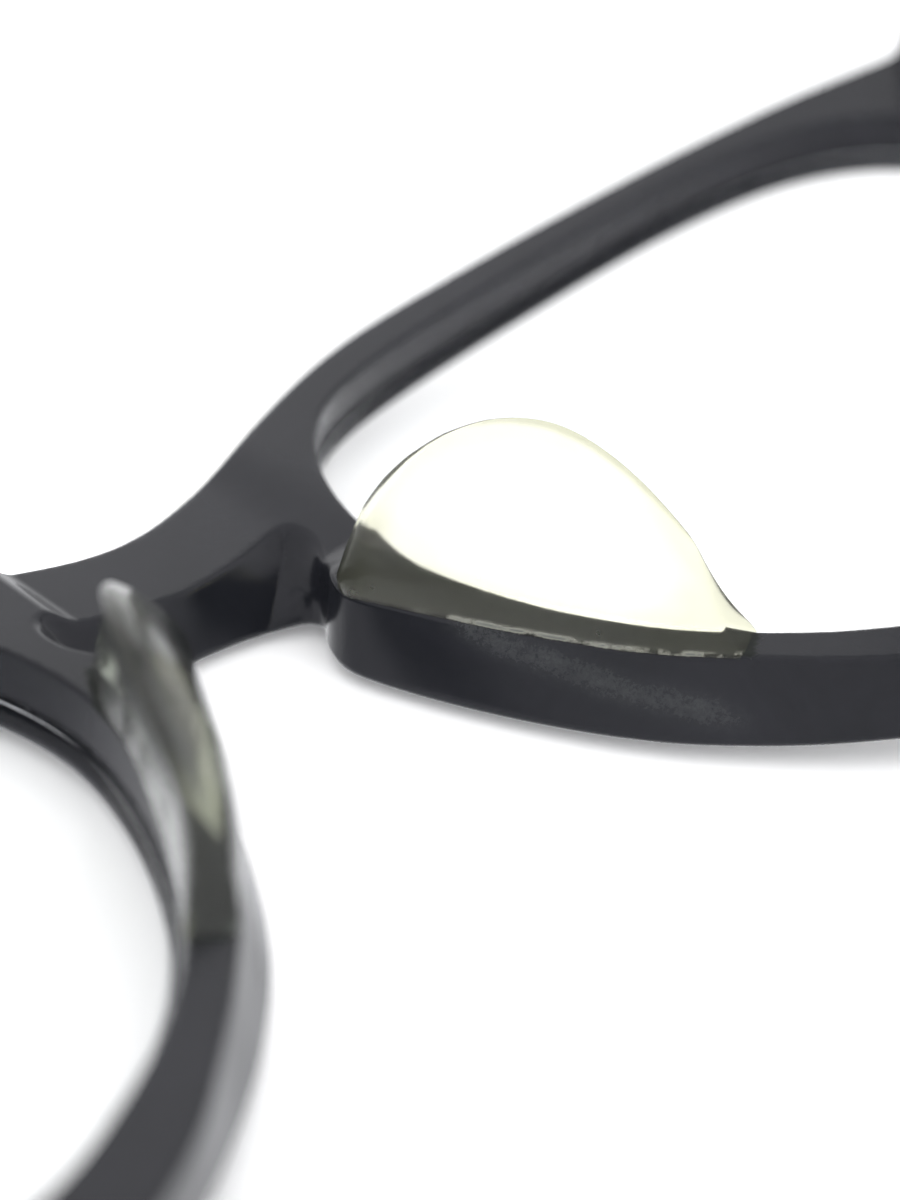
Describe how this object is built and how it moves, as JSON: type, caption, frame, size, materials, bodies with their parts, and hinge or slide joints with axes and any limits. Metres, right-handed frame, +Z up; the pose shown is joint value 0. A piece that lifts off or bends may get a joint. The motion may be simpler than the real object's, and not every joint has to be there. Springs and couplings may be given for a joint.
{
  "type": "eyeglasses frame",
  "caption": "Black acetate eyeglasses frame with keyhole bridge, wrapped rims, bonded translucent nose pads, clear lenses and folding temples on knuckle hinges.",
  "frame": {"origin": "on the symmetry plane, at the back face of the bridge, at the height of the lens centres", "axes": "+X to the wearer's left, +Y backwards along the open temples, +Z up as worn"},
  "size_m": [0.1426, 0.1482, 0.0438],
  "materials": {
    "black_acetate": "polished, lightly scuffed",
    "pad_acetate": "translucent pale yellow, polished",
    "clear_lens": "clear",
    "hinge_metal": "satin nickel silver",
    "screw_steel": "turned",
    "rivet_metal": "polished nickel",
    "core_wire": "drawn nickel silver"
  },
  "bodies": {
    "frame_front": {"front": "black_acetate", "left_lens": "clear_lens", "right_lens": "clear_lens", "left_nose_pad": "pad_acetate", "right_nose_pad": "pad_acetate", "left_front_hinge": "hinge_metal", "right_front_hinge": "hinge_metal", "left_hinge_screw": "screw_steel", "right_hinge_screw": "screw_steel", "left_front_rivets": "rivet_metal", "right_front_rivets": "rivet_metal"},
    "left_temple_arm": {"left_temple": "black_acetate", "left_temple_core": "core_wire", "left_temple_hinge": "hinge_metal", "left_temple_rivets": "rivet_metal"},
    "right_temple_arm": {"right_temple": "black_acetate", "right_temple_core": "core_wire", "right_temple_hinge": "hinge_metal", "right_temple_rivets": "rivet_metal"}
  },
  "joints": [
    {"name": "left_temple_fold", "type": "hinge", "parent": "frame_front", "child": "left_temple_arm", "pos_m": [0.0654, 0.0145, 0.01], "axis": [0, 0, 1], "range_deg": [0, 92]},
    {"name": "right_temple_fold", "type": "hinge", "parent": "frame_front", "child": "right_temple_arm", "pos_m": [-0.0654, 0.0145, 0.01], "axis": [0, 0, -1], "range_deg": [0, 83]}
  ]
}
